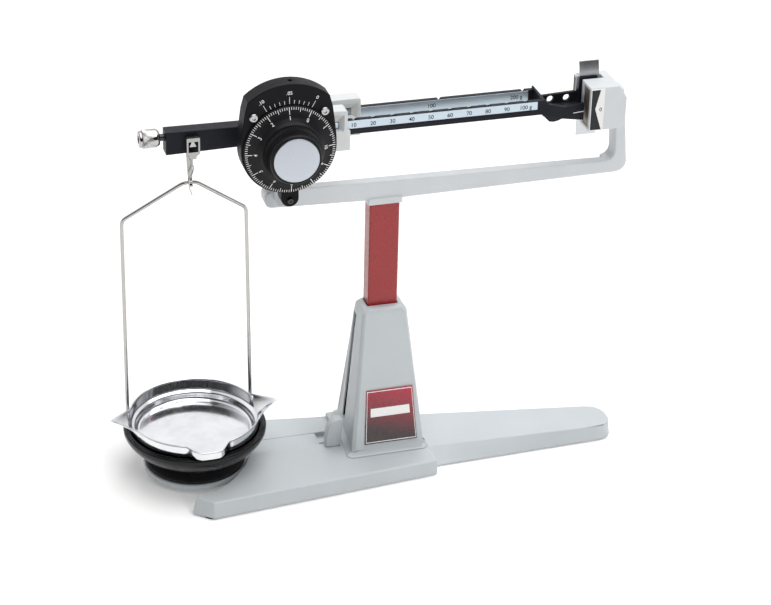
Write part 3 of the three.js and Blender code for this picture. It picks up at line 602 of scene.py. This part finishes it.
PAN_PROFILE = [
    (0, 34.0), (44.2, 34.0), (46.0, 35.6), (47.0, 39.7), (49.9, 40.9), (50.1, 44), (50.2, 47), (50.3, 49.7),
    (50.9, 50.3), (50.8, 51.0), (50.0, 51.1), (49.3, 50.3), (49.2, 47), (49.1, 44), (48.9, 41.9),
    (46.2, 40.7), (45.2, 36.2), (43.8, 35.0), (0, 35.0),
]
HOLDER_PROFILE = [
    (0, 21), (41, 21), (43.4, 22.2), (48.6, 27.0), (53.2, 32.6), (55.1, 36.2), (55.4, 39.4), (54.8, 40.4),
    (50.9, 40.4), (50.5, 39.7), (47.6, 38.7), (46.6, 34.6), (44.6, 33.4), (0, 33.4),
]
PAN_FOOT = centre("pan_holder").xy.to_3d()
piece_from(
    revolve(divided(eased(PAN_PROFILE, 0.9), 1.2), 360, spouted),
    "pan_spun", "stainless", "weighing_pan", PAN_FOOT, nodes=["pan"],
)
piece_from(
    revolve(eased(HOLDER_PROFILE, 0.8), 240),
    "pan_holder_moulded", "gloss_black", "pan_hanger", PAN_FOOT, nodes=["pan_holder"],
)


# ---- bow and hook ----
def bow_path():
    """Centre line of the bow, from the left foot over the top to the right foot."""
    corners = [
        (PAN_X - 48.9, 19.6, 38.6), (PAN_X - 48.4, 19.6, 212.5), (PAN_X - 5, 0, 248.2),
        (PAN_X + 4, 0, 248.2), (PAN_X + 46.6, 19.6, 212.5), (PAN_X + 48.9, 19.6, 38.6),
    ]
    return eased([Vector(c) for c in corners], 4.2, 10)


def straightened(points, step):
    """The same path with long straight runs cut into steps."""
    out = [Vector(points[0])]
    for p in points[1:]:
        start = out[-1]
        cuts = max(1, round((Vector(p) - start).length / step))
        out += [start.lerp(Vector(p), k / cuts) for k in range(1, cuts + 1)]
    return out


HOOK_X = -147.2
HOOK = [
    (HOOK_X - 2.6, 0, 271.2), (HOOK_X - 1.2, -0.6, 267.6), (HOOK_X + 1.8, -1.4, 261),
    (HOOK_X + 0.6, -2.2, 256), (HOOK_X - 1.6, -2.4, 251.4), (HOOK_X - 1.6, -2.4, 245),
    (HOOK_X - 0.4, -2, 241), (HOOK_X + 0.4, -1.2, 238),
]
piece_from(
    sweep(straightened(bow_path(), 12), 1.4, 28),
    "bow_drawn", "bright_plating", "pan_hanger", ORIGIN, nodes=["bow_wire"],
)
piece_from(
    sweep(spline(HOOK, 8), 0.45, 14),
    "hook_drawn", "bright_plating", "hook", ORIGIN, nodes=["hook_wire"],
)

# ---- dial ----
SKIRT = [
    (6, 0), (33.7, 0), (34.2, 0.5), (34.2, 1.6), (33.6, 2.2), (29.4, 3), (26, 4.2), (23.4, 6.2),
    (22.2, 8.4), (6, 8.4), (6, 0),
]
KNOB = [
    (0, 8.7), (21.6, 8.7), (21.6, 11), (20.6, 12.4), (19.6, 18.6), (18.7, 20.7), (17.6, 21.2),
    (17.3, 21.2), (17.3, 20.2), (0, 20.2),
]
CAP = [(0, 20.5), (17, 20.5), (17, 21.1), (16.6, 21.5), (0, 21.5)]
RIDGES = 96
FACE_FRONT = Matrix.Rotation(math.pi / 2, 4, "X")
DIAL_AT = Vector((centre("dial_cap").x, at(0, DIAL_Y, 0).y, centre("dial_cap").z))


def knurled(radius, height, turn):
    """Fine grip ridges on the knob's cone, fading out at both ends."""
    if radius < 17.6:
        return radius, height
    fade = min(max((height - 9.2) / 1.2, 0), 1) * min(max((19.6 - height) / 1.4, 0), 1)
    return radius - 0.32 * fade * (1 + math.cos(turn * RIDGES)), height


def about_axis(turned_mesh):
    """Turns a mesh revolved about +Z so that it points along -Y."""
    turned_mesh.transform(FACE_FRONT)
    return turned_mesh


piece_from(
    about_axis(revolve(eased(SKIRT, 0.5, 4), 288)),
    "dial_skirt_turned", "black_anodised", "dial", DIAL_AT, nodes=["dial_skirt"],
)
piece_from(
    about_axis(revolve(divided(eased(KNOB, 0.4, 3), 1.2), RIDGES * 8, knurled)),
    "dial_knob_knurled", "black_anodised", "dial", DIAL_AT, nodes=["dial_knob"],
)
piece_from(
    about_axis(revolve(eased(CAP, 0.3, 3), 192)),
    "dial_cap_grained", "brushed_cap", "dial", DIAL_AT, nodes=["dial_cap"],
)


def skirt_depth(radius):
    """How far the skirt's front stands off its back face at a radius."""
    for (r1, d1), (r0, d0) in zip(SKIRT[3:], SKIRT[4:]):
        if r0 <= radius <= r1:
            return d0 + (d1 - d0) * (radius - r0) / (r1 - r0)
    return SKIRT[3][1]


def on_ring(bearing, depth_of):
    """Places flat artwork whose +Y points outward at a bearing, clockwise from the top."""
    turn = math.radians(bearing)

    def place(v):
        x = v.x * math.cos(turn) + v.y * math.sin(turn)
        z = -v.x * math.sin(turn) + v.y * math.cos(turn)
        return Vector((x, -depth_of(math.hypot(x, z)) - LIFT, z))

    return place


def outward(shape, radius):
    """The same artwork moved out to a radius."""
    return [Vector((v.x, v.y + radius, 0)) for v in shape[0]], shape[1]


def dial_marks():
    """Divisions all round the skirt, longer at each fifth and tenth, and the figures 0 to 10."""
    bm = bmesh.new()
    for i in range(DIVISIONS):
        bearing = ZERO_BEARING - i * 360 / DIVISIONS
        inner, wide = 31.7, 0.4
        if i % 5 == 0:
            inner, wide = 30.4, 0.42
        if i % 10 == 0:
            inner, wide = 28.4, 0.5
        add_flat(bm, bar(-wide / 2, wide / 2, inner, 33.6, 6), on_ring(bearing, skirt_depth))
        if i % 10 == 0 and i <= 100:
            number = outward(glyphs(str(i // 10), 2.6, 0.03), 26.2)
            add_flat(bm, number, on_ring(bearing, skirt_depth))
    return bm


def vernier_marks():
    """Ten spaces on the housing, with a figure at each fifth line."""
    bm = bmesh.new()
    figures = {0: "0", 5: ".05", 10: ".10"}
    for i in range(11):
        place = on_ring(ZERO_BEARING - i * VERNIER, lambda r: 0.0)
        outer = 40.4 if i in figures else 37.8
        add_flat(bm, bar(-0.17, 0.17, 34.9, outer), place)
        if i in figures:
            add_flat(bm, outward(glyphs(figures[i], 2.6, 0.03), 43.4), place)
    return bm


HOUSING_AT = Vector((DIAL_AT.x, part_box("dial_housing")[0].y, DIAL_AT.z))
piece_from(dial_marks(), "dial_marks", "white_print", "dial", DIAL_AT)
piece_from(vernier_marks(), "vernier_marks", "white_print", "stand", HOUSING_AT)


# ---- printed strips, index and label ----
def upright(x, z, y):
    """Places flat artwork on a face that looks along -Y."""
    return lambda v: Vector((x + v.x, y, z + v.y))


def strip_marks():
    """The figures of both graduated strips."""
    bm = bmesh.new()

    def figure(words, x, strip):
        place = upright(x, STRIP_FIGURE_Z[strip], STRIP_FACE[strip] - LIFT)
        add_flat(bm, glyphs(words, 3.1, 0.06), place)

    for i in range(1, 11):
        figure(str(i * 10) + (" g" if i == 10 else ""), FRONT_FIGURE + i * FRONT_PITCH, "front")
    figure("100", REAR_FIGURE + REAR_PITCH, "rear")
    figure("200 g", REAR_FIGURE + 2 * REAR_PITCH, "rear")
    return bm


def index_field():
    """The dark field of the index plate, whose edge comes to a point at the balance line."""
    bm = bmesh.new()
    y = INDEX_FACE - LIFT
    outline = [(157.3, 297.3), (164.2, 297.3), (160.5, 281.7), (166.0, 264.7), (157.3, 264.7)]
    bm.faces.new([bm.verts.new((x, y, z)) for x, z in outline])
    add_flat(bm, glyphs("0", 3.0, 0.05), upright(164.9, 281.3, y))
    return bm


def arm_face(x):
    """y of the front of the beam's lower arm, which slants back towards its tip."""
    return -12 + 3 * (x - 136) / 19.2


def beam_pointer():
    """The white line on the beam's lower arm that the index reads."""
    bm = bmesh.new()
    line = [(146.0, 276.75), (155.1, 276.65), (155.1, 277.3), (146.0, 277.25)]
    bm.faces.new([bm.verts.new((x, arm_face(x) - LIFT, z)) for x, z in line])
    return bm


LABEL = {"x": 0.85, "foot_half": 21.3, "top_half": 18.6, "foot_z": 22.5, "height": 43.5}
LABEL_MARKS = [  # left and right as shares of the half width, bottom and top as shares of the height
    (-0.965, 0.965, 0.022, 0.036), (-0.965, 0.965, 0.964, 0.978), (-0.965, -0.945, 0.036, 0.964),
    (0.945, 0.965, 0.036, 0.964), (-0.8, 0.8, 0.5, 0.66),
]


def label_marks():
    """A thin pale border and a blank name bar on the sloping front of the tower."""
    bm = bmesh.new()
    lo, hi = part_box("label_plate")
    front = (lo.y - ORIGIN.y) / MM - LIFT
    depth = (hi.y - lo.y) / MM - 0.5

    def on_plate(v):
        half = LABEL["foot_half"] + (LABEL["top_half"] - LABEL["foot_half"]) * v.y
        up = LABEL["foot_z"] + LABEL["height"] * v.y
        return Vector((LABEL["x"] + v.x * half, front + depth * v.y, up))

    for mark in LABEL_MARKS:
        add_flat(bm, bar(*mark, 8), on_plate)
    return bm


piece_from(strip_marks(), "strip_numbers", "black_print", "beam", ORIGIN)
piece_from(index_field(), "index_field", "black_print", "stand", ORIGIN)
piece_from(beam_pointer(), "beam_pointer", "white_print", "beam", ORIGIN)
piece_from(label_marks(), "label_border", "white_print", "stand", ORIGIN)

# ---- tower slot, darkened by a sheet of painted shade ----
SLOT_Y = (1.75, 9.25)
SHEET = 0.3  # thickness of the dark sheet of painted shade in the slot
SHADE_SHEET_LEVELS = [  # height, then x of the shade sheet's edge and of its bottom
    (24.1, -25.5, -22.3), (98.7, -17.1, -13.9), (98.9, -17.1, -13.75), (117.9, -14.9, -13.75),
]


def slot_shade_sheet():
    """A dark trough in the slot of the tower's left face: a sheet of painted shade where the inside of the
    slot lies in shadow.
    """
    bm = bmesh.new()
    y0, y1 = SLOT_Y
    rings = []
    for z, edge, deep in SHADE_SHEET_LEVELS:
        outline = [
            (edge, y0), (deep, y0), (deep, y1), (edge, y1), (edge, y1 - SHEET),
            (deep - SHEET, y1 - SHEET), (deep - SHEET, y0 + SHEET), (edge, y0 + SHEET),
        ]
        rings.append([bm.verts.new((x, y, z)) for x, y in outline])
    for low, high in zip(rings, rings[1:]):
        for k, (corner, top) in enumerate(zip(low, high)):
            n = (k + 1) % len(low)
            bm.faces.new((corner, low[n], high[n], top))
    bm.faces.new(rings[0])
    bm.faces.new(rings[-1])
    return bm


# Painted shade: a dark sheet that fills the tower's slot.
piece_from(slot_shade_sheet(), "slot_shade_sheet", "slot_shade_black", "stand", ORIGIN)

# ---- zero adjuster ----
GRIPS = 48
GRIP_END = 6.6  # the knob is knurled up to here and plain beyond
ADJUSTER = [
    (2.9, 0), (5.7, 0), (6.3, 0.6), (6.3, 1.7), (6.0, 2.0), (6.0, 2.2), (6.9, 2.6), (6.9, 6.8), (6.9, 12.6),
    (6.6, 13.4), (5.4, 15), (2.9, 15), (2.9, 0),
]


def gripped(radius, height, turn):
    """Grip ridges round the knob's outer half."""
    if radius < 6.5 or height > GRIP_END:
        return radius, height
    return radius - 0.2 * (1 + math.cos(turn * GRIPS)), height


def adjuster():
    """The zero knob, turned about the beam's length."""
    bm = revolve(eased(ADJUSTER, 0.25, 2), GRIPS * 8, gripped)
    bm.transform(Matrix.Rotation(math.pi / 2, 4, "Y"))
    return bm


ADJUSTER_AT = Vector((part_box("zero_knob")[0].x, centre("zero_knob").y, centre("zero_knob").z))
piece_from(
    adjuster(), "zero_knob_knurled", "bright_plating", "zero_adjuster", ADJUSTER_AT,
    nodes=["zero_knob"],
)


# ---- stage ----
def floor():
    """A wide pale floor."""
    bm = bmesh.new()
    bmesh.ops.create_grid(bm, x_segments=8, y_segments=8, size=7)
    mesh = bpy.data.meshes.new("floor")
    bm.to_mesh(mesh)
    bm.free()
    f = Finish("floor", 0.9)
    f.colour(f.blend(f.spread(f.noise(3, 2), 0, 1), (0.93, 0.925, 0.92), (0.95, 0.95, 0.95)))
    f.bump(f.noise(600, 3), 0.02, 0.05)
    f.bsdf.inputs["Specular IOR Level"].default_value = 0.1
    f.bsdf.inputs["Emission Color"].default_value = (1, 0.995, 0.99, 1)
    f.bsdf.inputs["Emission Strength"].default_value = 0.12
    mesh.materials.append(f.mat)
    obj = bpy.data.objects.new("floor", mesh)
    bpy.context.scene.collection.objects.link(obj)


def softbox(name, place, target, width, height, watts, glossy=True):
    """A soft panel light. One that isn't glossy lights the object but isn't mirrored in it."""
    light = bpy.data.lights.new(name, "AREA")
    light.shape = "RECTANGLE"
    light.size = width
    light.size_y = height
    light.energy = watts
    obj = bpy.data.objects.new(name, light)
    bpy.context.scene.collection.objects.link(obj)
    obj.visible_glossy = glossy
    obj.location = place
    obj.rotation_mode = "QUATERNION"
    obj.rotation_quaternion = (Vector(target) - Vector(place)).to_track_quat("-Z", "Y")


def surroundings():
    """A white studio: bright behind the object and overhead, darker on the viewer's side."""
    world = bpy.data.worlds.new("studio")
    bpy.context.scene.world = world
    world.use_nodes = True
    tree = world.node_tree
    tree.nodes.clear()
    coords = tree.nodes.new("ShaderNodeTexCoord")
    split = tree.nodes.new("ShaderNodeSeparateXYZ")
    tree.links.new(coords.outputs["Generated"], split.inputs[0])
    levels = []
    for axis, stops in (
        (1, [(0.0, 0.05), (0.4, 0.12), (0.56, 0.9), (0.8, 1.9), (1.0, 2.1)]),
        (2, [(0.0, 0.5), (0.5, 0.6), (0.66, 0.7), (0.84, 0.95), (1.0, 1.1)]),
    ):
        centred = tree.nodes.new("ShaderNodeMapRange")
        centred.inputs["From Min"].default_value = -1
        tree.links.new(split.outputs[axis], centred.inputs["Value"])
        ramp = tree.nodes.new("ShaderNodeValToRGB")
        for k, (where, level) in enumerate(stops):
            stop = ramp.color_ramp.elements[k] if k < 2 else ramp.color_ramp.elements.new(where)
            stop.position = where
            stop.color = (level, level, level, 1)
        tree.links.new(centred.outputs[0], ramp.inputs[0])
        levels.append(ramp.outputs[0])
    both = tree.nodes.new("ShaderNodeMix")
    both.data_type = "RGBA"
    both.blend_type = "MULTIPLY"
    both.inputs[0].default_value = 1
    tree.links.new(levels[0], both.inputs[6])
    tree.links.new(levels[1], both.inputs[7])
    back = tree.nodes.new("ShaderNodeBackground")
    out = tree.nodes.new("ShaderNodeOutputWorld")
    tree.links.new(both.outputs[2], back.inputs[0])
    tree.links.new(back.outputs[0], out.inputs[0])
    back.inputs[1].default_value = 0.66


def camera():
    """Looks down at the object from its front left."""
    azimuth, pitch, roll = math.radians(17.146), math.radians(28.857), math.radians(1.4596)
    level = Vector((math.cos(azimuth), -math.sin(azimuth), 0))
    ahead = Vector((math.sin(azimuth), math.cos(azimuth), 0))
    forward = ahead * math.cos(pitch) - Vector((0, 0, 1)) * math.sin(pitch)
    above = Vector((0, 0, 1)) * math.cos(pitch) + ahead * math.sin(pitch)
    right = level * math.cos(roll) + above * math.sin(roll)
    up = above * math.cos(roll) - level * math.sin(roll)
    data = bpy.data.cameras.new("camera")
    data.sensor_width = 36
    data.lens = 109.627
    obj = bpy.data.objects.new("camera", data)
    bpy.context.scene.collection.objects.link(obj)
    place = at(-465.388, -1523.016, 1005.149)
    obj.matrix_world = Matrix(
        [(right[i], up[i], -forward[i], place[i]) for i in range(3)] + [(0, 0, 0, 1)]
    )
    bpy.context.scene.camera = obj


floor()
surroundings()
softbox("overhead", (0.35, -0.25, 1.9), (0, 0, 0.1), 2.4, 2.0, 38)
softbox("front", (0.9, -2.4, 1.5), (0, 0, 0.15), 1.2, 1.0, 22, False)
camera()
bpy.context.scene.view_settings.view_transform = "Standard"
